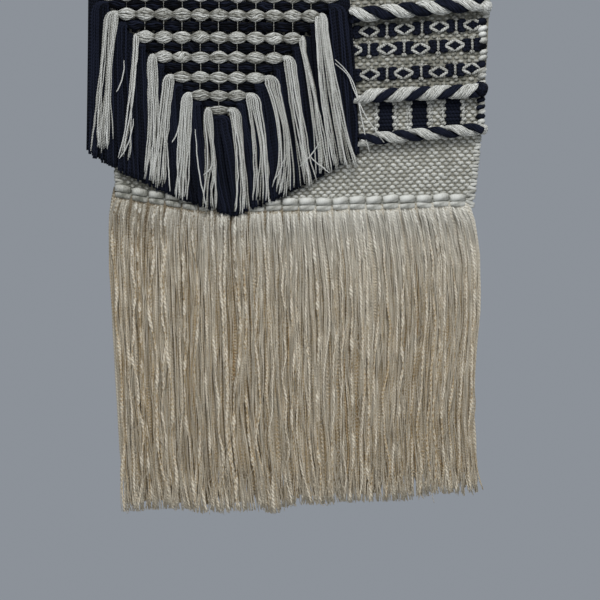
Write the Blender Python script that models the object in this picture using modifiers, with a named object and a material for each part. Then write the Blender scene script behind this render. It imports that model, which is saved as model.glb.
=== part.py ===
"""Woven wall hanging: a cream base cloth with a top hem, a shield of cream and navy bubble rows that
end in tassels, three twisted ropes over the right panel, and knots with a long fringe along the lower edge.

The front faces -Y, +Z is up, and the origin is at the middle of the top edge.
Sizes are in millimetres, and MM turns them into metres where a point is made.
"""

import math
import random
from collections import namedtuple

import bmesh
import bpy
from mathutils import Vector

MM = 0.001
SEAT_GAP = 0.3  # between a piece and what it lies on

# Base cloth. "Drop" is the distance below the top edge.
CLOTH_THICKNESS = 5.0
HEM_THICKNESS = 9.0
HEM_DROP, HEM_EDGE = 21.0, 4.0  # how deep the hem is, and the slope below it
CLOTH_LEFT, CLOTH_RIGHT = -204.0, 205.0
LEFT_DRAW_IN = 0.041  # the left edge leans in by this much per unit of drop
RIGHT_DRAW_IN = 0.0002  # the right edge curves in with the square of the drop
CLOTH_WAVE, WAVE_LENGTH = 1.0, 420.0
CLOTH_COLUMNS, CLOTH_ROWS = 16, 12

# Woven rows aren't level: they rise to the right of the panel line and to the left of the shield.
PANEL_LIFT_X, PANEL_LIFT, PANEL_LIFT_DROP = 0.0, 0.040, 60.0
KNOT_LIFT = 0.029
LEFT_LIFT_X, LEFT_LIFT = -97.0, 0.155
LEFT_LIFT_DROP = 150.0

# Knots and fringe along the lower edge
KNOTS = 21
KNOT_LEFT, KNOT_RIGHT = -191.5, 177.5
KNOT_LINE = -295.0
KNOT_HALF = Vector((8.2, 3.9, 6.3))
KNOT_Y = -1.0
CLOTH_DROP = -KNOT_LINE - KNOT_HALF.z - SEAT_GAP  # the cloth's lower edge rests on the knots
KNOT_PILLOW = 0.3  # how much fuller a knot is towards its ends than a ball is
KNOT_SIDES = 8
STRANDS_ACROSS = 4
STRAND_LAYERS = (-3.0, 0.9)
STRAND_ROOT_PITCH = 3.9
STRAND_ROOT_DROP = 1.5  # below the knot's middle
STRAND_RADIUS = 1.8
STRAND_TIP = 0.8  # how thick a strand's tip is, against the rest of it
FRINGE_BOTTOM, FRINGE_RISE = -612.0, 10.0  # at the left end, and how much higher it ends at the right
FRINGE_UNEVEN = 7.0
FRINGE_FULLNESS = 3.0  # how far the front strands belly forward
FRINGE_LEFT_TIP, FRINGE_RIGHT_TIP = -181.0, 190.0
FRINGE_LEFT_BOW, FRINGE_RIGHT_BOW = 5.0, 6.0
FRINGE_SWAY = 2.0
SWAYS_ACROSS, SWAYS_DOWN = 1.5, 0.6

# Shield of bubble rows
SHIELD_X = -81.9
BEAD_PITCH = 19.3
ROW_TILT = -0.013
ROW_END = 3.5  # length of a row's tail past its last bead
ROW_TAIL, ROW_TAIL_DROP = 0.75, 1.0  # the tail's end: its thickness against the neck, and how far it drops
CREAM_DEPTH, NAVY_DEPTH = 0.70, 0.72  # depth of a row against its height
CREAM_LAYER, NAVY_LAYER = -11.0, -7.4  # Y of the hanging tassels
CREAM_HEAD_DEPTH, NAVY_HEAD_DEPTH = 1.2, 1.9  # half the depth of their heads
CREAM_NECK = 3.6
NAVY_BEAD = 5.4
NAVY_NECK = 2.8
ROW_GAP = 0.5  # between a navy row and the cream rows above and below it
TASSEL_FILL = 0.44  # strand radius against the room it has
HEAD_HALF_HEIGHT = 3.4
HEAD_WIDTH = 0.88  # of the tassel at its top
HEAD_DROP = 2.5  # from the row's middle to the head's
TASSEL_UNEVEN = 2.5
TASSEL_GAP = 0.2
NAVY_TIP = Vector((-66.6, 0.0, -306.9))
NAVY_HEM_LEFT, NAVY_HEM_RIGHT = (0.27, 0.0011), (0.35, 0.0012)  # slope of the V's sides, and their hollow

# Sections of one bubble: the place across it, and how full the yarn is there
CREAM_RINGS = ((0.0, 0.0), (0.28, 0.92), (0.72, 0.92))
SINGLE_RINGS = ((0.0, 0.2), (0.28, 0.92), (0.72, 0.92))
NAVY_RINGS = ((0.0, 0.0), (0.5, 1.0))

Row = namedtuple("Row", "beads z half_height")
CREAM_ROWS = (
    Row(beads=13, z=-76.1, half_height=6.8),
    Row(beads=11, z=-96.1, half_height=6.8),
    Row(beads=9, z=-119.7, half_height=6.8),
    Row(beads=7, z=-140.7, half_height=6.6),
    Row(beads=5, z=-161.7, half_height=6.4),
    Row(beads=3, z=-180.4, half_height=6.0),
    Row(beads=1, z=-195.8, half_height=4.9),
)
TOP_NAVY_ROW = Row(beads=14, z=-64.6, half_height=4.4)

# Tassels: X of both sides at the top, half-way down and at the tip, and Z of the lower end
Tassel = namedtuple("Tassel", "beads count top middle tip low")
CREAM_TASSELS = (
    Tassel(beads=11, count=6, top=(-202.7, -186.9), middle=(-209.0, -192.5), tip=(-215.3, -193.1), low=-235),
    Tassel(beads=11, count=6, top=(18.9, 32.6), middle=(26.0, 43.0), tip=(36.5, 62.0), low=-256),
    Tassel(beads=9, count=3, top=(-171.9, -165.2), middle=(-175.5, -169.5), tip=(-185.9, -178.5), low=-245),
    Tassel(beads=9, count=3, top=(2.1, 9.5), middle=(15.1, 23.2), tip=(24.2, 34.3), low=-262),
    Tassel(beads=7, count=5, top=(-157.5, -147.0), middle=(-157.5, -147.4), tip=(-163.8, -152.5), low=-269),
    Tassel(beads=7, count=5, top=(-13.7, 0.0), middle=(-3.4, 8.4), tip=(4.2, 17.9), low=-273),
    Tassel(beads=5, count=5, top=(-141.8, -128.1), middle=(-144.6, -135.0), tip=(-151.0, -138.7), low=-273),
    Tassel(beads=5, count=5, top=(-33.6, -16.8), middle=(-18.9, -7.4), tip=(-23.1, -3.2), low=-280),
    Tassel(beads=3, count=5, top=(-121.8, -109.2), middle=(-125.6, -110.9), tip=(-128.1, -114.5), low=-288),
    Tassel(beads=3, count=5, top=(-53.6, -36.8), middle=(-45.5, -30.7), tip=(-48.4, -26.8), low=-287),
    Tassel(beads=1, count=5, top=(-97.7, -89.3), middle=(-96.8, -83.5), tip=(-99.8, -81.9), low=-297),
    Tassel(beads=1, count=5, top=(-70.8, -57.8), middle=(-63.7, -54.0), tip=(-65.1, -50.8), low=-300),
)
NAVY_STRANDS = 4
NAVY_LEAN_LEFT, NAVY_LEAN_RIGHT = 1.128, 0.967
CENTRE_STRANDS, CENTRE_HALF_WIDTH, CENTRE_HEAD_Z = 6, 14.4, -204.5

# Ropes: the (X, Z) of the axis's two ends, the outer radius, the length of one turn, its hand and its start
Rope = namedtuple("Rope", "name left right radius turn hand phase")
UPPER_ROPE = Rope(
    name="rope_upper", left=(57.5, -96.6), right=(200.0, -83.0), radius=8.6, turn=37.7, hand=1, phase=0.24
)
MIDDLE_ROPE = Rope(
    name="rope_middle", left=(62.5, -181.0), right=(197.5, -173.6), radius=7.5, turn=33.8, hand=-1, phase=0.89
)
LOWER_ROPE = Rope(
    name="rope_lower", left=(66.0, -227.2), right=(197.5, -214.8), radius=6.9, turn=37.2, hand=1, phase=0.65
)
ROPE_STEPS = 8  # points in a turn

CREAM = (0.66, 0.64, 0.55)
NAVY = (0.012, 0.016, 0.045)
FRINGE_CREAM = (0.68, 0.63, 0.50)


# --- scene, materials and small helpers ---


def empty_scene():
    for obj in list(bpy.data.objects):
        bpy.data.objects.remove(obj)


def new_collection(name):
    collection = bpy.data.collections.new(name)
    bpy.context.scene.collection.children.link(collection)
    return collection


def cotton(name, colour, roughness=0.9):
    material = bpy.data.materials.new(name)
    material.use_nodes = True
    shader = material.node_tree.nodes["Principled BSDF"]
    shader.inputs["Base Color"].default_value = (*colour, 1.0)
    shader.inputs["Roughness"].default_value = roughness
    shader.inputs["Metallic"].default_value = 0.0
    return material


def add_object(name, data, collection, material=None):
    obj = bpy.data.objects.new(name, data)
    collection.objects.link(obj)
    if material:
        data.materials.append(material)
    return obj


def mesh_from(bm, name):
    mesh = bpy.data.meshes.new(name)
    bm.to_mesh(mesh)
    bm.free()
    return mesh


def lerp(a, b, t):
    return a + (b - a) * t


# --- the form of the cloth ---


def left_edge(drop):
    return CLOTH_LEFT + LEFT_DRAW_IN * drop


def right_edge(drop):
    return CLOTH_RIGHT - RIGHT_DRAW_IN * drop * drop


def row_lift(x, drop):
    """How far a woven row at this drop rises above its level at the middle."""
    low = min(1.0, drop / CLOTH_DROP)
    right = lerp(PANEL_LIFT, KNOT_LIFT, low) * max(0.0, x - PANEL_LIFT_X) * min(1.0, drop / PANEL_LIFT_DROP)
    reach = min(1.0, max(0.0, drop - LEFT_LIFT_DROP) / (CLOTH_DROP - LEFT_LIFT_DROP))
    return right + LEFT_LIFT * max(0.0, LEFT_LIFT_X - x) * reach


def cloth_y(x, z):
    """The middle of the cloth, which bellies a little between its top and lower edges."""
    return CLOTH_WAVE * math.sin(math.pi * z / KNOT_LINE) * math.cos(2 * math.pi * x / WAVE_LENGTH)


def knot_z(x):
    return KNOT_LINE + row_lift(x, -KNOT_LINE)


def make_base_cloth(collection, material):
    hem_drops = [0.0, HEM_DROP, HEM_DROP + HEM_EDGE]
    plain_rows = CLOTH_ROWS - len(hem_drops) + 1
    drops = hem_drops[:-1] + [
        lerp(hem_drops[-1], CLOTH_DROP, i / plain_rows) for i in range(plain_rows + 1)
    ]
    bm = bmesh.new()
    bmesh.ops.create_grid(bm, x_segments=CLOTH_COLUMNS, y_segments=len(drops) - 1, size=1.0)
    group = bm.verts.layers.deform.new()
    for vert in bm.verts:
        across = (vert.co.x + 1) / 2
        row = round((1 - vert.co.y) / 2 * (len(drops) - 1))
        drop = drops[row]
        x = lerp(left_edge(drop), right_edge(drop), across)
        z = row_lift(x, drop) - drop
        vert.co = Vector((x, cloth_y(x, z), z)) * MM
        vert[group][0] = 1.0 if row < 2 else 0.0
    bmesh.ops.recalc_face_normals(bm, faces=bm.faces)
    cloth = add_object("base_cloth", mesh_from(bm, "base_cloth"), collection, material)
    cloth.vertex_groups.new(name="hem")
    solidify = cloth.modifiers.new("thickness", "SOLIDIFY")
    solidify.thickness = HEM_THICKNESS * MM
    solidify.offset = 0.0
    solidify.vertex_group = "hem"
    solidify.thickness_vertex_group = CLOTH_THICKNESS / HEM_THICKNESS


# --- curves made into meshes ---


def strand_profile(collection):
    """The three-sided section of every strand, one unit from its middle to a corner."""
    curve = bpy.data.curves.new("strand_profile", "CURVE")
    curve.dimensions = "2D"
    spline = curve.splines.new("POLY")
    spline.points.add(2)
    for i, point in enumerate(spline.points):
        angle = 2 * math.pi * i / 3
        point.co = (MM * math.cos(angle), MM * math.sin(angle), 0.0, 1.0)
    spline.use_cyclic_u = True
    profile = add_object("strand_profile", curve, collection)
    profile.hide_render = True
    profile.display_type = "WIRE"
    return profile


def add_spline(curve, points, radii):
    spline = curve.splines.new("POLY")
    spline.points.add(len(points) - 1)
    for target, point, radius in zip(spline.points, points, radii):
        target.co = (*(Vector(point) * MM), 1.0)
        target.radius = radius


def tube_curve(name, radius=1.0, sides=8):
    """A curve whose bevel has this radius and an even number of sides."""
    curve = bpy.data.curves.new(name, "CURVE")
    curve.dimensions = "3D"
    curve.bevel_depth = radius * MM
    curve.bevel_resolution = sides // 2 - 2
    curve.use_fill_caps = True
    return curve


def mesh_of_curve(curve, flatten=1.0):
    """The curve's skin as a closed mesh, with its Y scaled by flatten."""
    helper = bpy.data.objects.new(curve.name, curve)
    bpy.context.scene.collection.objects.link(helper)
    bpy.context.view_layer.update()
    graph = bpy.context.evaluated_depsgraph_get()
    mesh = bpy.data.meshes.new_from_object(helper.evaluated_get(graph))
    bpy.data.objects.remove(helper)
    bm = bmesh.new()
    bm.from_mesh(mesh)
    bmesh.ops.remove_doubles(bm, verts=bm.verts, dist=1e-6)
    for vert in bm.verts:
        vert.co.y *= flatten
    bmesh.ops.recalc_face_normals(bm, faces=bm.faces)
    bm.to_mesh(mesh)
    bm.free()
    return mesh


def strands_mesh(name, profile, paths):
    """Separate three-sided strands, each path a list of points and a radius."""
    curve = bpy.data.curves.new(name, "CURVE")
    curve.dimensions = "3D"
    curve.bevel_mode = "OBJECT"
    curve.bevel_object = profile
    curve.use_fill_caps = True
    for points, radius in paths:
        radii = [radius] * (len(points) - 1) + [STRAND_TIP * radius]
        add_spline(curve, points, radii)
    return mesh_of_curve(curve)


def fuse(obj, mesh, guides):
    """Joins a mesh to the object with a Boolean union."""
    operand = add_object(mesh.name, mesh, guides)
    operand.hide_render = True
    operand.display_type = "WIRE"
    union = obj.modifiers.new(mesh.name, "BOOLEAN")
    union.operation = "UNION"
    union.object = operand


# --- ropes ---


def make_rope(rope, collection, materials):
    """Two strands wound round one axis, which rises along the panel."""
    steps = round(math.dist(rope.left, rope.right) / rope.turn * ROPE_STEPS)
    chord = math.cos(math.pi / ROPE_STEPS)  # the middle of a step lies this much nearer the axis
    winding = (rope.radius + SEAT_GAP / 2) / (1 + chord)
    strand_radius = rope.radius - winding
    for number, (colour, material) in enumerate(materials.items()):
        points = []
        for i in range(steps + 1):
            x = lerp(rope.left[0], rope.right[0], i / steps)
            z = lerp(rope.left[1], rope.right[1], i / steps)
            angle = 2 * math.pi * (rope.hand * i / ROPE_STEPS + rope.phase + number / 2)
            y = cloth_y(x, z) - CLOTH_THICKNESS / 2 - SEAT_GAP - rope.radius
            points.append((x, y + winding * math.cos(angle), z + winding * math.sin(angle)))
        name = f"{rope.name}_{colour}"
        curve = tube_curve(name, strand_radius, sides=6)
        add_spline(curve, points, [1.0] * len(points))
        add_object(name, mesh_of_curve(curve), collection, material)


# --- bubble rows ---


def row_z(row, x):
    return row.z + ROW_TILT * (x - SHIELD_X)


def bead_row_mesh(name, row, neck, depth, layer, rings, sides):
    """A thick yarn that swells at each bubble and narrows where a warp holds it down.

    rings holds, for one bubble, the places across it and how full the yarn is there."""
    half_length = row.beads * BEAD_PITCH / 2
    centre = -CLOTH_THICKNESS / 2 - SEAT_GAP - row.half_height * depth
    stations = [
        (-half_length + (bead + across) * BEAD_PITCH, lerp(neck, row.half_height, full))
        for bead in range(row.beads)
        for across, full in rings
    ]
    stations.append((half_length, neck))
    points, radii = [], []
    for offset, radius in stations:
        x = SHIELD_X + offset
        z = row_z(row, x)
        points.append((x, (centre + cloth_y(x, z)) / depth, z))
        radii.append(radius)
    tails = []
    for place in (-1, 1):
        x = SHIELD_X + place * (half_length + ROW_END)
        tails.append((x, layer / depth, row_z(row, x) - ROW_TAIL_DROP))
    tail_radius = ROW_TAIL * neck
    curve = tube_curve(name, sides=sides)
    add_spline(curve, [tails[0], *points, tails[1]], [tail_radius, *radii, tail_radius])
    return mesh_of_curve(curve, flatten=depth)


def tassel_strands(top, middle, tip, count, head_z, tip_z_at, layer, rng):
    """Paths of a tassel's strands, side by side from its head to its uneven lower end."""
    paths = []
    radius = TASSEL_FILL * min(top[1] - top[0], middle[1] - middle[0], tip[1] - tip[0]) / count
    for i in range(count):
        across = (i + 0.5) / count
        tip_x = lerp(*tip, across)
        tip_z = tip_z_at(tip_x) + rng.uniform(-TASSEL_UNEVEN, TASSEL_UNEVEN)
        path = [
            (lerp(*top, across), layer, head_z),
            (lerp(*middle, across), layer, (head_z + tip_z) / 2),
            (tip_x, layer, tip_z),
        ]
        paths.append((path, radius))
    return paths


def heads_mesh(name, heads):
    """Flat blocks that hold the roots of the tassels, each a middle and a half size."""
    bm = bmesh.new()
    for middle, half_size in heads:
        made = bmesh.ops.create_cube(bm, size=2.0)
        for vert in made["verts"]:
            vert.co = (Vector(middle) + vert.co * Vector(half_size)) * MM
    return mesh_from(bm, name)


def head_block(top, z, layer, half_depth):
    middle = ((top[0] + top[1]) / 2, layer, z)
    return middle, (HEAD_WIDTH * (top[1] - top[0]) / 2, half_depth, HEAD_HALF_HEIGHT)


def fuse_tassels(obj, tassels, guides, profile):
    """Joins tassels to a row, each a head block and the paths of its strands."""
    fuse(obj, heads_mesh(obj.name + "_heads", [head for head, _ in tassels]), guides)
    paths = [path for _, strands in tassels for path in strands]
    fuse(obj, strands_mesh(obj.name + "_strands", profile, paths), guides)


def make_cream_row(row, collection, guides, material, profile, rng):
    name = f"cream_row_{row.beads:02d}"
    rings = CREAM_RINGS if row.beads > 1 else SINGLE_RINGS
    mesh = bead_row_mesh(name, row, CREAM_NECK, CREAM_DEPTH, CREAM_LAYER, rings, sides=8)
    obj = add_object(name, mesh, collection, material)
    tassels = []
    for tassel in CREAM_TASSELS:
        if tassel.beads != row.beads:
            continue
        head_z = row_z(row, tassel.top[0]) - HEAD_DROP
        head = head_block(tassel.top, head_z, CREAM_LAYER, CREAM_HEAD_DEPTH)
        places = (tassel.top, tassel.middle, tassel.tip)
        paths = tassel_strands(
            *places, tassel.count, head_z, lambda x, z=tassel.low: z, CREAM_LAYER, rng
        )
        tassels.append((head, paths))
    if tassels:
        fuse_tassels(obj, tassels, guides, profile)


def navy_hem_z(x):
    """The lower outline of the shield, a V with slightly hollow sides."""
    away = abs(x - NAVY_TIP.x)
    slope, hollow = NAVY_HEM_LEFT if x < NAVY_TIP.x else NAVY_HEM_RIGHT
    return NAVY_TIP.z + slope * away + hollow * away * away


def navy_tip_x(top_x):
    lean = NAVY_LEAN_LEFT if top_x < SHIELD_X else NAVY_LEAN_RIGHT
    return NAVY_TIP.x + lean * (top_x - SHIELD_X)


def navy_tassel(top, count, head_z, rng):
    tip = (navy_tip_x(top[0]), navy_tip_x(top[1]))
    middle = (lerp(top[0], tip[0], 0.5), lerp(top[1], tip[1], 0.5))
    head = head_block(top, head_z, NAVY_LAYER, NAVY_HEAD_DEPTH)
    return head, tassel_strands(top, middle, tip, count, head_z, navy_hem_z, NAVY_LAYER, rng)


def navy_row_between(above, below):
    """The row that fills the space between two cream rows, half a bubble out of step with them."""
    room = (above.z - above.half_height) - (below.z + below.half_height)
    z = below.z + below.half_height + room / 2
    neck = min(NAVY_NECK, room / 2 - ROW_GAP)
    bead = min(above.z - CREAM_NECK - z, z - below.z - CREAM_NECK) - ROW_GAP
    return Row(above.beads - 1, z, min(NAVY_BEAD, bead)), neck


def make_navy_row(row, neck, hangs, collection, guides, material, profile, rng):
    name = f"navy_row_{row.beads:02d}"
    mesh = bead_row_mesh(name, row, neck, NAVY_DEPTH, NAVY_LAYER, NAVY_RINGS, sides=6)
    obj = add_object(name, mesh, collection, material)
    if not hangs:
        return
    inner = row.beads * BEAD_PITCH / 2
    tassels = []
    for place in (-1, 1):
        sides = (inner + TASSEL_GAP, inner + BEAD_PITCH - TASSEL_GAP)
        top = sorted(SHIELD_X + place * side for side in sides)
        head_z = row_z(row, top[0]) - HEAD_DROP
        tassels.append(navy_tassel(top, NAVY_STRANDS, head_z, rng))
    fuse_tassels(obj, tassels, guides, profile)


def make_centre_tassel(collection, guides, material, profile, rng):
    """The navy tassel that hangs below the single bubble."""
    top = (SHIELD_X - CENTRE_HALF_WIDTH, SHIELD_X + CENTRE_HALF_WIDTH)
    head, paths = navy_tassel(top, CENTRE_STRANDS, CENTRE_HEAD_Z, rng)
    obj = add_object("navy_centre_tassel", heads_mesh("navy_centre_tassel", [head]), collection, material)
    fuse(obj, strands_mesh("navy_centre_strands", profile, paths), guides)


def make_shield(collection, guides, materials, profile):
    rng = random.Random(11)
    for row in CREAM_ROWS:
        make_cream_row(row, collection, guides, materials["cream"], profile, rng)
    make_navy_row(TOP_NAVY_ROW, NAVY_NECK, False, collection, guides, materials["navy"], profile, rng)
    for above, below in zip(CREAM_ROWS, CREAM_ROWS[1:]):
        row, neck = navy_row_between(above, below)
        make_navy_row(row, neck, True, collection, guides, materials["navy"], profile, rng)
    make_centre_tassel(collection, guides, materials["navy"], profile, rng)


# --- knots and fringe ---


def fringe_x(across, t):
    """Where a strand hangs, from the knots (t = 0) to the lower end (t = 1): the sides bow a little."""
    left = lerp(KNOT_LEFT, FRINGE_LEFT_TIP, t * t) - FRINGE_LEFT_BOW * math.sin(math.pi * t)
    right = lerp(KNOT_RIGHT, FRINGE_RIGHT_TIP, t) + FRINGE_RIGHT_BOW * math.sin(math.pi * t)
    sway = FRINGE_SWAY * t * math.sin(2 * math.pi * (SWAYS_ACROSS * across + SWAYS_DOWN * t))
    return lerp(left, right, across) + sway


def fringe_path(across, root_x, root_z, layer, tip_z, segments=2):
    points = [(root_x, layer, root_z)]
    for i in range(1, segments + 1):
        t = i / segments
        y = layer - (FRINGE_FULLNESS * math.sin(math.pi * t) if layer < 0 else 0.0)
        points.append((fringe_x(across, t), y, lerp(root_z, tip_z, t)))
    return points


def knot_mesh(name, x):
    """A pillow: a sphere with its poles to the sides, made fuller towards them."""
    bm = bmesh.new()
    bmesh.ops.create_uvsphere(bm, u_segments=KNOT_SIDES, v_segments=4, radius=1.0)
    for vert in bm.verts:
        along, out, up = vert.co.z, vert.co.x, vert.co.y
        full = 1 + KNOT_PILLOW * along * along
        knot_x = x + along * KNOT_HALF.x
        y = KNOT_Y + out * full * KNOT_HALF.y
        vert.co = Vector((knot_x, y, knot_z(knot_x) + up * full * KNOT_HALF.z)) * MM
    bmesh.ops.recalc_face_normals(bm, faces=bm.faces)
    return mesh_from(bm, name)


def make_fringe(collection, guides, material, profile):
    rng = random.Random(5)
    pitch = (KNOT_RIGHT - KNOT_LEFT) / KNOTS
    for number in range(KNOTS):
        x = KNOT_LEFT + pitch * (number + 0.5)
        z = knot_z(x)
        name = f"fringe_bunch_{number + 1:02d}"
        obj = add_object(name, knot_mesh(name, x), collection, material)
        paths = []
        for layer in STRAND_LAYERS:
            for i in range(STRANDS_ACROSS):
                across = (number + (i + 0.5) / STRANDS_ACROSS) / KNOTS
                root_x = x + (i - (STRANDS_ACROSS - 1) / 2) * STRAND_ROOT_PITCH
                tip_z = FRINGE_BOTTOM + FRINGE_RISE * across * across + rng.uniform(0, FRINGE_UNEVEN)
                path = fringe_path(across, root_x, z - STRAND_ROOT_DROP, layer, tip_z)
                paths.append((path, STRAND_RADIUS))
        fuse(obj, strands_mesh(name + "_strands", profile, paths), guides)


def main():
    empty_scene()
    hanging = new_collection("woven_wall_hanging")
    guides = new_collection("guides")
    cream, navy = cotton("cream_cotton", CREAM), cotton("navy_cotton", NAVY)
    yarns = {"cream": cream, "navy": navy}
    profile = strand_profile(guides)
    make_base_cloth(hanging, cotton("cream_weave", CREAM))
    for rope in (UPPER_ROPE, MIDDLE_ROPE, LOWER_ROPE):
        make_rope(rope, hanging, yarns)
    make_shield(hanging, guides, yarns, profile)
    make_fringe(hanging, guides, cotton("fringe_cotton", FRINGE_CREAM), profile)


main()
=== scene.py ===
"""Looks of the woven wall hanging: wefts, bubble yarns, tassels, ropes, knots and fringe in cotton.

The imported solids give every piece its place. Sizes are in millimetres until a mesh is made.
"""

import math

import bpy
import numpy as np
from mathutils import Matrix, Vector


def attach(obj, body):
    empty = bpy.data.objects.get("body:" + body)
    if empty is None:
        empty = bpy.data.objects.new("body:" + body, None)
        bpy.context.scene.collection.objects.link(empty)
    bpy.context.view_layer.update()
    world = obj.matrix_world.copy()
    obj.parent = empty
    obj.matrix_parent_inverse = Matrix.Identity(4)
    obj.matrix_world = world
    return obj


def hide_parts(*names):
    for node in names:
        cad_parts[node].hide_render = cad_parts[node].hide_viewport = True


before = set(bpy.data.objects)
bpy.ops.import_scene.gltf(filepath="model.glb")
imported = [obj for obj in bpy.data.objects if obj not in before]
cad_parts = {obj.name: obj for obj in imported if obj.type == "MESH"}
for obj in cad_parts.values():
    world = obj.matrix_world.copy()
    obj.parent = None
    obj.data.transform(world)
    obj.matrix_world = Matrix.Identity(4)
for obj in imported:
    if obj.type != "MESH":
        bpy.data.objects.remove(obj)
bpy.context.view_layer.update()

MM = 0.001
GAP = 0.3
PATTERN_STEP, PATTERN_SPAN = 13.7, 61.0  # where each strand's twist starts
TURN_STEPS = 14  # points in a yarn that turns round an edge or a knot

# Base cloth
CLOTH_LEFT, CLOTH_RIGHT = -204.0, 205.0
LEFT_DRAW_IN, RIGHT_DRAW_IN = 0.041, 0.0002
CLOTH_THICKNESS, HEM_LAYER, HEM_DROP = 5.0, 2.0, 21.0  # the hem is two layers, this far to each side
CLOTH_WAVE, WAVE_LENGTH = 1.0, 420.0
PANEL_LIFT_X, PANEL_LIFT, PANEL_LIFT_DROP = 0.0, 0.040, 60.0
KNOT_LIFT = 0.029
LEFT_LIFT_X, LEFT_LIFT, LEFT_LIFT_DROP = -97.0, 0.155, 150.0
KNOT_LINE = -295.0
KNOT_HALF_HEIGHT = 6.3
CLOTH_DROP = -KNOT_LINE - KNOT_HALF_HEIGHT - GAP

# Weave: rows of weft, grains in a row, how much of each side the selvedge takes
WEFT_ROWS, WEFT_CELLS, SELVEDGE_CELLS = 76, 98, 2.0
WEFT_RADIUS, WEFT_FLAT, WEFT_SWING = 2.12, 0.74, 1.35
GRAIN_PLACES = np.array([-0.46, 0.0, 0.46])  # of a grain's three sections, in cells
GRAIN_SWING = np.array([0.88, 1.0, 0.88])
GRAIN_RADIUS = np.array([0.86, 1.0, 0.86])
GRAIN_SLIP, GRAIN_RISE, GRAIN_TILT = 0.1, 0.45, 1.0  # how uneven the grains are
CORE_THICKNESS, CORE_INSET = 1.4, 1.5
EXTRA_TURNS = 4  # of weft, below the cloth at the right selvedge

# Knots and fringe
KNOTS = 21
KNOT_LEFT, KNOT_RIGHT = -191.5, 177.5
KNOT_Y = -1.0
# The two turns of a knot: height on it, and half their size past its width, forward and up
KNOT_TURNS = ((3.1, (0.8, 6.1, 5.1)), (-3.9, (0.4, 5.4, 3.8)))
FRINGE_ENDS = (0.0, 0.3, 0.42, 0.5, 0.8, 0.87, 1.0)  # shares of the width, and Z of the tips there
FRINGE_LOW = (-616.0, -617.5, -618.0, -609.0, -607.5, -600.0, -599.0)
FRINGE_DOWN = (0.0, 0.05, 0.2, 0.4, 0.6, 0.75, 0.95, 1.0)  # shares of the drop, and X of both sides
FRINGE_LEFT = (-190.5, -196.5, -196.5, -194.0, -190.5, -187.0, -182.5, -181.0)
FRINGE_RIGHT = (178.5, 186.0, 192.0, 192.0, 187.0, 185.5, 189.0, 190.0)
FRINGE_SWAY = 2.0
# Kinds of strand in a bunch: strands, points, radius from and to, slubs, depth, waver, shade from
# and to, length of twist, how far they gather into wisps, and how much shorter they are
FRINGE_KINDS = (
    (2, 60, (1.1, 1.6), 0.4, -3.6, 2.6, (0.45, 0.95), 1.3, 1.0, 0.0),
    (15, 46, (0.6, 0.95), 0.25, -2.2, 1.5, (0.3, 1.15), 0.8, 1.0, 0.0),
    (14, 34, (0.32, 0.52), 0.1, -3.4, 2.2, (0.3, 1.2), 0.6, 0.9, 0.0),
    # The plain strands behind get a lower shade: painted shade, as they lie behind the others
    (12, 16, (1.8, 2.1), 0.0, 1.4, 0.5, (0.1, 0.7), 0.9, 0.0, 8.0),
)

# Shield
SHIELD_X = -81.9
BEAD_PITCH = 19.3
ROW_TILT = -0.013
CREAM_DEPTH, NAVY_DEPTH = 0.70, 0.72
CREAM_LAYER, NAVY_LAYER = -11.0, -7.4
# Half heights: room kept for a cream row's necks, a navy bubble and a neck; then the gap of two rows
CREAM_ROOM, NAVY_BEAD, NECK, ROW_GAP = 3.6, 5.4, 2.8, 0.5
CREAM_STRAND, NAVY_STRAND, NAVY_BACKING = 0.7, 1.3, 1.45  # radii in a tassel
CREAM_SPREAD, CREAM_RAGGED = 1.6, 3.4  # of a tassel's tips, sideways and in length
NAVY_SPREAD, NAVY_RAGGED = 0.5, 0.8
NAVY_TIP_X, NAVY_TIP_Z = -66.6, -306.9
NAVY_HEM_LEFT, NAVY_HEM_RIGHT = (0.27, 0.0011), (0.35, 0.0012)
NAVY_LEAN_LEFT, NAVY_LEAN_RIGHT = 1.128, 0.967
CENTRE_HALF_WIDTH, CENTRE_HEAD_Z = 14.4, -204.5

# Cream rows: bubbles, height of the row's middle, half height
CREAM_ROWS = (
    (13, -76.1, 6.8),
    (11, -96.1, 6.8),
    (9, -119.7, 6.8),
    (7, -140.7, 6.6),
    (5, -161.7, 6.4),
    (3, -180.4, 6.0),
    (1, -195.8, 4.9),
)
TOP_NAVY_ROW = (14, -64.6, 4.4)

# Cream tassels: bubbles of their row, strands, X of both sides at the top, half-way down and at the
# tip, Z of the lower end, and how far the strands part half-way down
CREAM_TASSELS = (
    (11, 15, (-202.7, -186.9), (-209.0, -192.5), (-216.3, -193.1), -235.0, 2.0),
    (11, 23, (18.9, 32.6), (26.0, 45.0), (36.5, 64.0), -256.0, 1.4),
    (9, 6, (-171.9, -165.2), (-177.5, -170.5), (-185.9, -175.5), -245.0, 1.5),
    (9, 10, (2.1, 9.5), (15.1, 24.2), (22.2, 34.3), -262.0, 0.8),
    (7, 12, (-157.5, -147.0), (-156.5, -144.4), (-160.8, -147.5), -269.0, 0.6),
    (7, 11, (-13.7, 0.0), (-3.4, 8.4), (4.2, 18.9), -273.0, 1.0),
    (5, 12, (-141.8, -128.1), (-147.6, -134.0), (-152.0, -138.7), -273.0, 0.6),
    (5, 12, (-33.6, -16.8), (-18.9, -7.4), (-24.1, -4.2), -280.0, 1.6),
    (3, 13, (-121.8, -109.2), (-125.6, -110.9), (-128.1, -114.5), -288.0, 0.8),
    (3, 13, (-53.6, -36.8), (-45.5, -30.7), (-48.4, -26.8), -289.0, 1.6),
    (1, 10, (-97.7, -89.3), (-96.8, -83.5), (-99.8, -81.9), -297.0, 3.2),
    (1, 10, (-70.8, -57.8), (-63.7, -54.0), (-65.1, -50.8), -300.0, 1.2),
)

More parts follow.
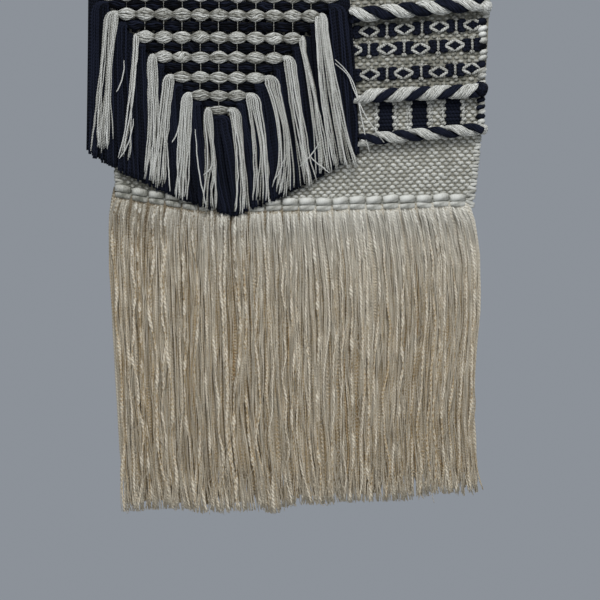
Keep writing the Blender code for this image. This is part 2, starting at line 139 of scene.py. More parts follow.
# Single strands that wander from the tassels: the row they hang from, and the (X, Z) of their points
STRAYS = (
    (11, ((40, -143), (50, -153), (58, -165), (63, -180), (66, -196), (69, -211), (72, -225),
          (76, -240))),
    (11, ((40, -147), (51, -157), (58, -170), (63, -183), (68, -195), (76, -208), (83, -219),
          (91.5, -230))),
    (11, ((-181, -144), (-181.5, -156), (-185, -169), (-189, -177))),
    (9, ((-171, -205), (-173, -218), (-178, -234), (-186, -247))),
    (9, ((24, -229), (17, -240), (10, -248), (3, -255))),
    (9, ((13, -243), (19, -250), (27, -256), (34, -262))),
    (5, ((-136, -230), (-135, -248), (-134, -265), (-133, -281))),
    (3, ((-122, -205), (-126, -221), (-131, -230))),
    (3, ((-106.5, -216), (-105, -238), (-103, -258), (-99, -279), (-95, -297))),
    (1, ((-88, -252), (-92, -259), (-98, -264))),
    (5, ((-14, -248), (-18, -260), (-25, -271))),
    (5, ((-15, -266), (-17, -276), (-19, -284))),
)

# Ropes: X and Z of the left end, of the right end, outer radius, length of a turn, hand, start.
# The middle one lies about 1 mm below its solid, as the real one does.
ROPES = {
    "rope_upper": ((57.5, -96.6), (200.0, -83.0), 8.6, 37.7, 1, 0.24),
    "rope_middle": ((62.5, -181.6), (197.5, -175.0), 7.7, 33.8, -1, 0.89),
    "rope_lower": ((66.0, -227.2), (197.5, -214.8), 6.9, 37.2, 1, 0.65),
}
ROPE_STEPS = 8  # sides of a turn of the solids, which sets how close their strands lie

# Diamond bands: middles of the diamonds as (X, Z), X of the ties
DIAMOND_BANDS = (
    (((76.1, -112.7), (112.9, -110.3), (149.6, -108.2), (184.5, -106.1)), (56.7, 94.5, 131.3, 167.0)),
    (((59.5, -132.8), (94.2, -131.4), (128.9, -131.3), (165.7, -127.7)), (75.6, 112.4, 148.1, 183.8)),
    (((76.7, -158.3), (111.6, -156.8), (148.6, -155.6), (183.3, -152.5)), (57.8, 94.5, 130.2, 165.9)),
)
DIAMOND_HALF_WIDTH, DIAMOND_HALF_HEIGHT = (10.6, 11.6), (5.2, 6.0)  # each from and to
TIE_HALF_HEIGHT = 6.0
# Navy yarns on both sides of a tie: their height on it, and how far from it they start and end
GROUND_ROWS = ((4.9, 2.2, 10.0), (1.7, 0.8, 8.2), (-1.7, 0.8, 8.2), (-4.9, 2.2, 10.0))
BARS = ((86.1, 100.4), (120.8, 136.5), (156.0, 171.6))
BAR_DROPS = (184.0, 224.0)

# Thick yarn ends that turn round the right selvedge: X from, X to, Z from, Z to
EDGE_TURNS = {
    "cream": (
        (189.0, 200.8, -107.1, -112.8),
        (190.0, 199.8, -113.4, -118.9),
        (190.0, 200.8, -119.7, -126.0),
        (191.1, 200.8, -132.3, -137.4),
        (190.1, 200.4, -137.8, -143.2),
        (188.0, 199.8, -151.8, -156.6),
        (189.0, 199.2, -157.0, -162.2),
        (190.0, 198.0, -187.7, -190.1),
        (189.5, 198.4, -194.8, -199.4),
        (189.0, 198.0, -205.0, -210.2),
    ),
    "navy": (
        (188.0, 199.8, -99.2, -107.1),
        (185.9, 199.8, -126.0, -132.3),
        (186.9, 198.8, -143.9, -151.2),
        (188.0, 198.0, -182.7, -187.5),
        (187.5, 198.0, -190.2, -194.6),
        (187.0, 198.0, -199.6, -204.8),
    ),
}
# The lumps where the ropes end: both ends of their middle line, radius, navy or cream, and how much
# of the rope they take up; then how much wider than thick the cream and the navy strand are
ROPE_LUMPS = {
    "rope_upper": ((195.8, -93.0), (199.2, -81.5), 5.8, "cream", 6.0),
    "rope_middle": ((190.5, -180.0), (194.5, -167.5), 6.3, "navy", 9.0),
    "rope_lower": ((193.2, -220.0), (195.4, -211.0), 4.8, "cream", 3.0),
}
ROPE_WIDTHS = {"rope_upper": (1.45, 1.4), "rope_middle": (1.95, 1.15), "rope_lower": (1.7, 1.3)}
NAVY_STARTS = {"rope_middle": 9.0}  # how far along the rope its navy strand comes out from below

# Colours of a yarn: its light strands, its dark ones, and the deep colour of the painted shade in the
# creases between its plies and on recessed strands
CREAM = (0.86, 0.865, 0.825), (0.44, 0.44, 0.40), (0.16, 0.155, 0.13)
WEAVE = (0.72, 0.72, 0.67), (0.42, 0.415, 0.37), (0.15, 0.15, 0.125)
NAVY = (0.015, 0.019, 0.037), (0.002, 0.003, 0.006), (0.0005, 0.0005, 0.001)
# The fringe's warm brown dark and deep colours: partly its tan strands, partly the painted shade of its
# crevices
FRINGE = (0.80, 0.735, 0.60), (0.52, 0.40, 0.235), (0.32, 0.205, 0.095)
# The warps show only in the gaps between grains: a darker cotton, darker still as painted shade in
# those gaps
WARP = ((0.24, 0.23, 0.19),) * 3
ROUGHNESS, SPECULAR = 0.92, 0.12
FIBRES, STREAKS, BLOTCHES = 1400.0, 850.0, 45.0  # how fine each noise is

# Studio, in metres: its lights' place, size and power, and the camera, which looks along Y
FLOOR_RADIUS, FLOOR_Z = 1.1, -1.0
FLOOR_COLOUR, AIR_COLOUR = (0.62, 0.62, 0.61, 1.0), (0.262, 0.285, 0.318, 1.0)
LIGHT_AIM = (0.0, 0.0, -0.3)
LIGHTS = (
    ("key_light", (0.3, -1.4, 1.1), 1.0, 29.0),
    ("fill_light", (-1.2, -1.4, -0.1), 1.2, 4.0),
    ("back_light", (0.6, 1.6, 0.4), 1.4, 14.0),
)
CAMERA_X, CAMERA_Y, CAMERA_Z, CAMERA_LENS = 0.00315, -4.0, -0.3948, 228.5


def lerp(a, b, t):
    return a + (b - a) * t


def ramp(value, start, end):
    """0 up to start, then evenly up to 1 at end."""
    return np.clip((value - start) / (end - start), 0, 1)


def left_edge(drop):
    return CLOTH_LEFT + LEFT_DRAW_IN * drop


def right_edge(drop):
    return CLOTH_RIGHT - RIGHT_DRAW_IN * drop * drop


def row_lift(x, drop):
    low = np.minimum(1.0, drop / CLOTH_DROP)
    right = lerp(PANEL_LIFT, KNOT_LIFT, low) * np.maximum(0.0, x - PANEL_LIFT_X)
    right = right * np.minimum(1.0, drop / PANEL_LIFT_DROP)
    reach = ramp(drop, LEFT_LIFT_DROP, CLOTH_DROP)
    return right + LEFT_LIFT * np.maximum(0.0, LEFT_LIFT_X - x) * reach


def cloth_y(x, z):
    return CLOTH_WAVE * np.sin(math.pi * z / KNOT_LINE) * np.cos(2 * math.pi * x / WAVE_LENGTH)


def knot_z(x):
    return KNOT_LINE + row_lift(x, -KNOT_LINE)


def row_z(z, x):
    return z + ROW_TILT * (x - SHIELD_X)


def points(x, y, z):
    return np.stack(np.broadcast_arrays(x, y, z), axis=-1).astype(float)


# --- yarn: strands swept along lines, with a UV map that runs along and round each of them ---


class Yarns:
    """Gathers strands and makes them one mesh. Every strand in it has the same number of sides."""

    def __init__(self, sides=6):
        self.sides = sides
        self.verts, self.shades, self.inks = [], [], []
        self.quads, self.quad_uvs, self.caps, self.cap_uvs = [], [], [], []
        self.count = self.strands = 0

    def add(
        self, lines, radius, flat=1.0, shade=0.5, ink=0.0, *,
        facing=(0.0, -1.0, 0.0), closed=False, stretch=1.0,
    ):
        """lines is strands x points x 3; radius, shade and ink are numbers, or strands x points.

        stretch draws each strand's twist out: a high one leaves fibres that run along the yarn."""
        lines = np.asarray(lines, float)
        strands, count, _ = lines.shape
        sides, grid = self.sides, (strands, count)
        radius, shade, ink = (np.broadcast_to(v, grid) for v in (radius, shade, ink))
        if closed:
            along = np.roll(lines, -1, axis=1) - np.roll(lines, 1, axis=1)
        else:
            along = np.gradient(lines, axis=1)
        along /= np.linalg.norm(along, axis=2, keepdims=True)
        side = np.cross(along, facing)
        side /= np.linalg.norm(side, axis=2, keepdims=True)
        deep = np.cross(along, side)
        angle = (2 * math.pi * np.arange(sides) / sides)[:, None]
        ring = side[:, :, None] * np.cos(angle) + flat * deep[:, :, None] * np.sin(angle)
        self.verts.append((lines[:, :, None] + radius[:, :, None, None] * ring).reshape(-1, 3))
        self.shades.append(np.repeat(shade.reshape(-1), sides))
        self.inks.append(np.repeat(ink.reshape(-1), sides))

        ahead = np.roll(lines, -1, axis=1) - lines
        length = np.linalg.norm(ahead, axis=2)
        length = np.concatenate([np.zeros((strands, 1)), np.cumsum(length, axis=1)], axis=1)
        length += PATTERN_STEP * (self.strands + np.arange(strands))[:, None] % PATTERN_SPAN
        length /= np.reshape(stretch, (-1, 1))
        base = self.count + np.arange(strands)[:, None, None] * count * sides
        spans = count if closed else count - 1
        i, k = np.arange(spans)[None, :, None], np.arange(sides)[None, None, :]
        after, turn = (i + 1) % count, (k + 1) % sides
        corners = [i * sides + k, i * sides + turn, after * sides + turn, after * sides + k]
        self.quads.append(np.stack([base + c for c in corners], axis=-1).reshape(-1, 4))
        u0, u1 = length[:, :spans, None], length[:, 1 : spans + 1, None]
        v0, v1 = k / sides, (k + 1) / sides
        uvs = [points(a, b, 0)[..., :2] for a, b in ((u0, v0), (u0, v1), (u1, v1), (u1, v0))]
        self.quad_uvs.append(np.stack(uvs, axis=-2).reshape(-1, 2))
        if not closed:
            first = base[:, 0] + np.arange(sides)[::-1]
            last = base[:, 0] + (count - 1) * sides + np.arange(sides)
            self.caps.append(np.concatenate([first, last]))
            turn = np.arange(sides)[None] / sides
            ends = (length[:, :1], turn[:, ::-1]), (length[:, count - 1 : count], turn)
            tips = [points(u, v, 0)[..., :2] for u, v in ends]
            self.cap_uvs.append(np.concatenate(tips).reshape(-1, 2))
        self.count += strands * count * sides
        self.strands += strands

    def make(self, name, material, slot, nodes=()):
        """The mesh as one object, which rides on the hanging and stands for these nodes."""
        verts = np.concatenate(self.verts)
        quads = np.concatenate(self.quads)
        caps = np.concatenate(self.caps) if self.caps else np.zeros((0, self.sides), int)
        uvs = np.concatenate(self.quad_uvs + self.cap_uvs)
        mesh = bpy.data.meshes.new(name)
        mesh.vertices.add(len(verts))
        mesh.vertices.foreach_set("co", (verts * MM).ravel())
        mesh.loops.add(quads.size + caps.size)
        mesh.loops.foreach_set("vertex_index", np.concatenate([quads.ravel(), caps.ravel()]))
        totals = np.concatenate([np.full(len(quads), 4), np.full(len(caps), self.sides)])
        mesh.polygons.add(len(totals))
        mesh.polygons.foreach_set("loop_start", np.concatenate([[0], np.cumsum(totals)[:-1]]))
        mesh.polygons.foreach_set("loop_total", totals)
        mesh.polygons.foreach_set("use_smooth", np.arange(len(totals)) < len(quads))
        mesh.uv_layers.new(name="yarn").data.foreach_set("uv", uvs.ravel())
        for key, values in (("shade", self.shades), ("ink", self.inks)):
            layer = mesh.attributes.new(key, "FLOAT", "POINT")
            layer.data.foreach_set("value", np.concatenate(values))
        mesh.update(calc_edges=True)
        mesh.materials.append(material)
        obj = bpy.data.objects.new(name, mesh)
        bpy.context.scene.collection.objects.link(obj)
        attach(obj, "root")
        if nodes:
            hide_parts(*nodes)
        return obj


def smooth_noise(rng, strands, count, waves, size):
    """Soft random waves along each strand, up to about this size: strands x points."""
    t = np.linspace(0, 1, count)[None, :]
    total = np.zeros((strands, count))
    for wave in waves:
        phase = rng.uniform(0, 2 * math.pi, (strands, 1))
        height = rng.normal(0, 1, (strands, 1))
        total += height * np.sin(2 * math.pi * wave * t + phase)
    return size * total / math.sqrt(len(waves))


def bend(start, lead, trail, end, count):
    """Curves that leave start towards lead and reach end from trail: strands x count x 3."""
    t = np.linspace(0, 1, count)[None, :, None]
    a, b, c, d = (np.asarray(p, float)[:, None, :] for p in (start, lead, trail, end))
    return (1 - t) ** 3 * a + 3 * (1 - t) ** 2 * t * b + 3 * (1 - t) * t**2 * c + t**3 * d


def through(places, count):
    """A smooth line of this many points through the given ones."""
    places = np.asarray(places, float)
    padded = np.concatenate([2 * places[:1] - places[1:2], places, 2 * places[-1:] - places[-2:-1]])
    s = np.linspace(0, len(places) - 1 - 1e-9, count)
    i, t = s.astype(int), (s % 1.0)[:, None]
    p0, p1, p2, p3 = (padded[i + k] for k in range(4))
    square, cube = 2 * p0 - 5 * p1 + 4 * p2 - p3, 3 * p1 - p0 - 3 * p2 + p3
    return 0.5 * (2 * p1 + (p2 - p0) * t + square * t**2 + cube * t**3)


def add_turn(yarns, x, z, half, y, rng, tilt, shades, ink=0.0):
    """One turn of thick yarn, a closed ring round x, y, z; half is half its size each way.

    z may be a function of x, which the turn then follows."""
    angle = 2 * math.pi * np.arange(TURN_STEPS) / TURN_STEPS
    across = np.sign(np.cos(angle)) * np.abs(np.cos(angle)) ** 0.75
    out = np.sign(np.sin(angle)) * np.abs(np.sin(angle)) ** 0.85
    thick = half[2]
    ring_x = x + across * (half[0] - thick) * rng.uniform(0.97, 1.03)
    ring_z = (z(ring_x) if callable(z) else z) + tilt * (ring_x - x)
    ring_z = ring_z + rng.uniform(-0.25, 0.25) + rng.uniform(-0.3, 0.3) * across
    ring_y = y - out * (half[1] - thick * 0.8) * rng.uniform(0.94, 1.04)
    ring, shade = points(ring_x, ring_y, ring_z)[None], rng.uniform(*shades)
    yarns.add(ring, thick, 0.95, shade, ink, facing=(0.0, 0.0, 1.0), closed=True, stretch=5.0)


# --- materials ---


class Socket:
    """A shader value of a material, with operators that add Math nodes."""

    def __init__(self, cotton, link):
        self.cotton, self.link = cotton, link

    def _math(self, operation, *values):
        return self.cotton.node("ShaderNodeMath", {"operation": operation}, dict(enumerate(values)), 0)

    def __add__(self, other):
        return self._math("ADD", self, other)

    def __sub__(self, other):
        return self._math("SUBTRACT", self, other)

    def __rsub__(self, other):
        return self._math("SUBTRACT", other, self)

    def __mul__(self, other):
        return self._math("MULTIPLY", self, other)

    def __pow__(self, other):
        return self._math("POWER", self, other)

    __radd__, __rmul__ = __add__, __mul__

    def wave(self):
        """0 at whole numbers and 1 half-way between them."""
        return self._math("ABSOLUTE", self._math("SINE", self * math.pi))


class Cotton:
    """Builds one cotton material."""

    def __init__(self, name):
        self.material = bpy.data.materials.new(name)
        self.material.use_nodes = True
        self.tree = self.material.node_tree
        self.shader = self.tree.nodes["Principled BSDF"]

    def node(self, kind, settings, inputs, output):
        """A new node: its settings are made first, then its sockets get their values or links."""
        node = self.tree.nodes.new(kind)
        for key, value in settings.items():
            setattr(node, key, value)
        for key, value in inputs.items():
            if isinstance(value, Socket):
                self.tree.links.new(value.link, node.inputs[key])
            else:
                node.inputs[key].default_value = value
        return Socket(self, node.outputs[output])

    def attribute(self, name):
        return self.node("ShaderNodeAttribute", {"attribute_name": name}, {}, "Fac")

    def along_and_round(self):
        uv = self.node("ShaderNodeUVMap", {"uv_map": "yarn"}, {}, "UV")
        return tuple(self.node("ShaderNodeSeparateXYZ", {}, {0: uv}, axis) for axis in "XY")

    def noise(self, scale, upright=1.0):
        """Noise in space; a low upright draws it out along Z."""
        place = self.node("ShaderNodeTexCoord", {}, {}, "Object")
        scale_up = {0: place, 1: (1.0, 1.0, upright)}
        place = self.node("ShaderNodeVectorMath", {"operation": "MULTIPLY"}, scale_up, 0)
        inputs = {"Vector": place, "Scale": scale, "Detail": 2.0}
        return self.node("ShaderNodeTexNoise", {}, inputs, "Fac")

    def mix(self, factor, a, b):
        a, b = (v if isinstance(v, Socket) else (*v, 1.0) for v in (a, b))
        return self.node("ShaderNodeMix", {"data_type": "RGBA"}, {0: factor, 6: a, 7: b}, 2)

    def finish(self, colour, height, relief):
        bump = self.node("ShaderNodeBump", {}, {"Height": height, "Distance": relief * MM}, "Normal")
        self.tree.links.new(bump.link, self.shader.inputs["Normal"])
        self.tree.links.new(colour.link, self.shader.inputs["Base Color"])
        self.shader.inputs["Roughness"].default_value = ROUGHNESS
        self.shader.inputs["Specular IOR Level"].default_value = SPECULAR
        return self.material


def plied_cotton(name, colours, ply_length, relief, contrast, other=None, streaks=0.0, beads=0.45):
    """Twisted yarn: light or dark by a strand's shade, with painted shade in the creases between its
    two plies.

    A shade below 0 goes towards the deep colour all over, painted shade for recessed strands. other is
    the three colours of the strands whose ink is 1."""
    light, dark, deep = colours
    cotton = Cotton(name)
    along, round_it = cotton.along_and_round()
    ply = (along * (1 / ply_length) + round_it * 2).wave() ** 0.7
    fibre, blotch = cotton.noise(FIBRES), cotton.noise(BLOTCHES)
    tone = cotton.attribute("shade") + (blotch - 0.5) * 0.5 + (fibre - 0.5) * 0.3
    # painted light: each turn of the twist is lighter at its crest and darker between, by beads
    tone = tone + ((along * (1 / ply_length)).wave() - 0.6) * beads
    if streaks:
        tone = tone + (cotton.noise(STREAKS, upright=0.35) - 0.5) * streaks
    colour = cotton.mix(tone, dark, light)
    if other:
        ink = cotton.attribute("ink")
        colour = cotton.mix(ink, colour, cotton.mix(tone, other[1], other[0]))
        deep = cotton.mix(ink, deep, other[2])
    # painted shade: the creases between the plies go towards the deep colour
    colour = cotton.mix(ply * contrast + (1 - contrast), deep, colour)
    # painted shade: a shade below 0, mostly on recessed strands, goes towards the deep colour
    colour = cotton.mix(tone * -1.6, colour, deep)
    height = ply + fibre * 0.35
    return cotton.finish(colour, height - cotton.attribute("ink") * height * 0.6, relief)


# --- weave ---


def weft_drop(row):
    return (row + 0.5) * CLOTH_DROP / WEFT_ROWS


def band_ink(x, z):
    """1 where the weft under the diamonds and in the bars is navy."""
    ink = np.zeros(np.shape(x))
    for diamonds, _ in DIAMOND_BANDS:
        (x0, z0), (x1, z1) = diamonds[0], diamonds[-1]
        middle = z0 + (x - x0) * (z1 - z0) / (x1 - x0)
        near = np.min([np.abs(x - diamond_x) for diamond_x, _ in diamonds], axis=0)
        tall = np.where(near < 8.0, 6.2 - 0.62 * near, 5.6)
        ink = np.where((np.abs(z - middle) < tall) & (x > 52.0), 1.0, ink)
    drop = row_lift(x, -z) - z
    for left, right in BARS:
        inside = (x > left) & (x < right) & (drop > BAR_DROPS[0]) & (drop < BAR_DROPS[1])
        ink = np.where(inside, 1.0, ink)
    return ink


def under_shield(x, z):
    """Where the shield covers the cloth: navy weft there leaves no light gap between its rows."""
    half = np.interp(z, [-210.0, -196.0, -90.0, -80.0], [12.0, 26.0, 125.0, 0.0])
    return np.abs(x - SHIELD_X) < half


def make_wefts(name, rows, material, rng):
    """Wefts that pass over one warp and under the next, so that both faces show grains like rice."""
    yarns = Yarns(sides=5)
    cells = np.arange(math.ceil(SELVEDGE_CELLS), math.floor(WEFT_CELLS - SELVEDGE_CELLS) + 1)
    for row in rows:
        drop = weft_drop(row)
        uneven = (GRAIN_SLIP, GRAIN_RISE, GRAIN_TILT)
        slip, rise, tilt = (rng.uniform(-size, size, (len(cells), 1)) for size in uneven)
        place = cells[:, None] + GRAIN_PLACES + slip
        x = lerp(left_edge(drop), right_edge(drop), place / WEFT_CELLS)
        z = row_lift(x, drop) - drop + rise + tilt * GRAIN_PLACES
        front = np.where((cells + row) % 2 == 0, -1.0, 1.0)[:, None]
        y = cloth_y(x, z) + WEFT_SWING * front * GRAIN_SWING
        radius = WEFT_RADIUS * GRAIN_RADIUS * rng.uniform(0.86, 1.12, (len(cells), 1))
        middle_x = lerp(left_edge(drop), right_edge(drop), cells / WEFT_CELLS)
        ink = band_ink(middle_x, row_lift(middle_x, drop) - drop)[:, None] + 0 * x
        ink = np.where((front < 0) & under_shield(x, z), 1.0, ink)
        # painted shade: each grain is darker at both ends, where it dips between the warps
        shade = rng.uniform(0.2, 1.0, (len(cells), 1)) + np.array([-0.3, 0.0, -0.3])
        # Painted shade on the front grains: darker between the diamonds, partly for a darker yarn there
        # and partly for the ropes' shadows, and beside the shield's lower part, in its shadow
        right = ramp(middle_x, 40, 60) * np.interp(drop, (30, 76, 178, 190), (0, 1, 1, 0))
        left = ramp(middle_x, -97, -110) * ramp(drop, 200, 222)
        shade = shade - (0.75 * right + 0.9 * left)[:, None] * (front < 0)
        for layer in (-HEM_LAYER, HEM_LAYER) if drop < HEM_DROP else (0.0,):
            line = points(x, y + layer, z).reshape(1, -1, 3)
            yarns.add(line, radius.reshape(1, -1), WEFT_FLAT, shade.reshape(1, -1), ink.reshape(1, -1))
    return yarns.make(name, material, "cream_weave", ["base_cloth"])


def make_cloth_core(material):
    """The warps' layer between the two faces of the weave, as one thin sheet."""
    # the warp colour is partly painted shade for the gaps between the grains
    bpy.ops.object.select_all(action="DESELECT")
    bpy.ops.mesh.primitive_grid_add(x_subdivisions=48, y_subdivisions=36, size=2.0)
    core = bpy.context.object
    core.name = core.data.name = "warp_sheet"
    for vert in core.data.vertices:
        across, drop = (vert.co.x + 1) / 2, (1 - vert.co.y) / 2 * CLOTH_DROP
        x = lerp(left_edge(drop) + CORE_INSET, right_edge(drop) - CORE_INSET, across)
        z = float(row_lift(x, drop)) - drop
        vert.co = (x * MM, float(cloth_y(x, z)) * MM, z * MM)
    solid = core.modifiers.new("thickness", "SOLIDIFY")
    solid.thickness, solid.offset = CORE_THICKNESS * MM, 0.0
    bpy.ops.object.modifier_apply(modifier=solid.name)
    core.data.materials.append(material)
    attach(core, "root")
    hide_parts("base_cloth")
    return core


def make_selvedges(material, rng):
    """Each weft turns round the last warps at both edges, so that a column of wraps stands there."""
    yarns = Yarns(sides=5)
    half_width = SELVEDGE_CELLS * (CLOTH_RIGHT - CLOTH_LEFT) / WEFT_CELLS / 2
    pitch = CLOTH_DROP / WEFT_ROWS
    thick_turns = [(low, high) for turns in EDGE_TURNS.values() for _, _, high, low in turns]
    for row in range(WEFT_ROWS + EXTRA_TURNS):
        drop = weft_drop(row)
        for place in (-1, 1) if row < WEFT_ROWS else (1,):
            edge = left_edge(drop) if place < 0 else right_edge(drop)
            wide = half_width + 1.4 * (row >= WEFT_ROWS - 2)  # the lowest ones spread
            x = edge - place * wide + rng.uniform(-0.2, 0.2)
            z = float(row_lift(x, drop)) - drop + rng.uniform(-0.3, 0.3)
            if place > 0 and any(low < z < high for low, high in thick_turns):
                continue
            deep = rng.uniform(2.8, 3.4) + HEM_LAYER * (drop < HEM_DROP)
            half = (wide, deep, rng.uniform(0.54, 0.66) * pitch)
            tilt = rng.uniform(0.05, 0.4) * (1 if row % 2 else -1)
            # painted shade: the lower turns of the left selvedge are darker, in the shade below the
            # shield
            shades = (0.0, 0.8) if place > 0 or drop < 220.0 else (-0.5, 0.1)
            add_turn(yarns, x, z, half, cloth_y(x, z), rng, tilt, shades)
    x = np.linspace(KNOT_LEFT + 2, KNOT_RIGHT + 7, 30)
    for rise in (-0.5, 5.0):  # plain wefts behind the knots
        yarns.add(points(x, 0.8, knot_z(x) + rise)[None], 3.4, 0.7, 0.0)
    return yarns.make("selvedge_turns", material, "cream_weave", ["base_cloth"])


# --- diamonds, bars and the thick turns at the right edge ---


def stitch(yarns, start, end, height, radius, shade, bulge=0.0, flat=0.8, base=1.6):
    """A short yarn laid over the cloth, with both ends pulled in; bulge bows it sideways."""
    t = np.linspace(0, 1, 6)
    across = np.array([start[1] - end[1], end[0] - start[0]])
    across = across / np.linalg.norm(across) * bulge
    x = lerp(start[0], end[0], t) + across[0] * np.sin(math.pi * t)
    z = lerp(start[1], end[1], t) + across[1] * np.sin(math.pi * t)
    lift = np.sin(math.pi * np.clip(t, 0.03, 0.97)) ** 0.4
    y = cloth_y(x, z) - base - height * lift
    size = radius * np.array([0.6, 0.97, 1.0, 1.0, 0.97, 0.6])
    yarns.add(points(x, y, z)[None], size, flat, shade)


def make_diamonds(cream, navy, rng):
    light, dark = Yarns(sides=6), Yarns(sides=6)
    for diamonds, ties in DIAMOND_BANDS:
        (x0, z0), (x1, z1) = diamonds[0], diamonds[-1]
        slope = (z1 - z0) / (x1 - x0)
        for x, z in diamonds:
            for dx, dz in ((-1, 1), (1, 1), (-1, -1), (1, -1)):
                corner = (x + dx * rng.uniform(*DIAMOND_HALF_WIDTH), z + dx * 10 * slope - dz * 0.3)
                apex = (x + dx * rng.uniform(0.0, 0.7), z + dz * rng.uniform(*DIAMOND_HALF_HEIGHT))
                stitch(light, corner, apex, 2.6, 1.6, rng.uniform(-0.05, 0.5))
            for dz, half in ((0.0, 7.0), (2.3, 4.0), (-2.3, 4.0)):
                tilt = half * slope
                stitch(dark, (x - half, z + dz - tilt), (x + half, z + dz + tilt), 1.8, 1.5, 0.4)
        for x in ties:
            z = z0 + (x - x0) * slope
            foot = (x + rng.uniform(-0.5, 0.5), z - TIE_HALF_HEIGHT)
            stitch(light, (x, z + TIE_HALF_HEIGHT), foot, 3.2, 1.3, -0.05)
            for dz in (-7.2, 7.2):
                stitch(light, (x - 2.6, z + dz), (x + 2.6, z + dz), 1.2, 1.9, rng.uniform(-0.3, 0.1))
            for place in (-1, 1):
                for dz, near, reach in GROUND_ROWS:
                    far = (x + place * reach, z + dz + place * reach * slope)
                    stitch(dark, (x + place * near, z + dz), far, 2.4, 2.2, 0.5)
    light.make("diamond_outlines", cream, "cream_yarn", ["base_cloth"])
    dark.make("diamond_grounds", navy, "navy_yarn", ["base_cloth"])


def make_bars(cream, navy, rng):
    """Navy floats that lie row on row, and the cream wefts that turn back on both sides of them."""
    light, dark = Yarns(sides=6), Yarns(sides=6)
    for row in range(WEFT_ROWS):
        drop = weft_drop(row)
        if not BAR_DROPS[0] < drop < BAR_DROPS[1]:
            continue
        for left, right in BARS:
            z0, z1 = (float(row_lift(x, drop)) - drop for x in (left, right))
            stitch(dark, (left - 0.6, z0), (right + 0.6, z1), 0.6, 2.35, rng.uniform(0.2, 0.6))
            for edge, z, place in ((left, z0, -1), (right, z1, 1)):
                inner = edge + place * (1.9 * (row % 2) - 0.4)
                size, shade = rng.uniform(2.0, 2.3), rng.uniform(0, 0.7)
                stitch(light, (inner, z), (inner + place * 4.8, z), 1.0, size, shade)
    light.make("bar_edges", cream, "cream_yarn", ["base_cloth"])
    dark.make("bar_floats", navy, "navy_yarn", ["base_cloth"])


def make_edge_turns(cream, navy, rng):
    for colour, material in (("cream", cream), ("navy", navy)):
        yarns = Yarns(sides=6)
        for x0, x1, z0, z1 in EDGE_TURNS[colour]:
            half, tilt = ((x1 - x0) / 2, 6.6, (z0 - z1) / 2 + 0.7), rng.uniform(0.2, 0.6)
            add_turn(yarns, (x0 + x1) / 2, (z0 + z1) / 2, half, -0.9, rng, tilt, (0.0, 0.7))
        yarns.make(f"edge_turns_{colour}", material, f"{colour}_yarn", ["base_cloth"])


# --- bubble rows and tassels ---


def place_in_front(x, z, thick):
    """Y of the middle of a piece this thick to each side, which lies on the base cloth's solid."""
    return cloth_y(x, z) - CLOTH_THICKNESS / 2 - GAP - thick


def parabola(a, b, c, t):
    """A smooth way from a by b, half-way, to c."""
    return a * (1 - t) * (1 - 2 * t) + b * 4 * t * (1 - t) + c * t * (2 * t - 1)


def make_row_yarns(yarns, row, neck, depth, rng, strands, per_bead, fullness):
    """Strands that fan out over each bubble and meet again at each neck."""
    beads, z, half_height = row
    half = beads * BEAD_PITCH / 2
    count = beads * per_bead + 1
    bead_x = np.linspace(0, beads, count)
    bead = np.minimum(bead_x.astype(int), beads - 1)
    swell = np.sin(math.pi * (bead_x % 1.0))
    swell[swell < 1e-6] = 0.0
    x = SHIELD_X - half + bead_x * BEAD_PITCH
    size = rng.uniform(0.93, 1.05, beads)[bead]
    tall = lerp(neck, half_height * size, swell**fullness)
    middle_z = row_z(z, x) + rng.uniform(-0.45, 0.45, beads)[bead] * swell
    middle_y = place_in_front(x, middle_z, half_height * depth)
    slip = rng.normal(0, 4.0, (strands, beads))[:, bead] * swell
    slant = rng.normal(0, 16.0, beads)[bead] * np.sin(2 * math.pi * bead_x)
    angle = np.radians(np.linspace(-125, 125, strands)[:, None] + slip + slant)
    thick = 1.85 * tall / strands
    reach = tall - thick * 0.9
    wobble = 1 + rng.normal(0, 0.02, (strands, beads))[:, bead]
    line_z = middle_z + reach * wobble * np.sin(angle)
    line_y = middle_y - reach * wobble * depth * np.cos(angle)
    # painted shade: strands darker towards the necks, which lie recessed
    shade = rng.uniform(-0.35, 0.75, (strands, beads))[:, bead] - 0.8 * (1 - swell**0.6)
    yarns.add(points(x[None], line_y, line_z), thick[None], 0.95, shade, stretch=3.0)
    # a dark core under the strands: painted shade in the gaps between them
    yarns.add(points(x, middle_y, middle_z)[None], 0.86 * reach, depth, -0.6)


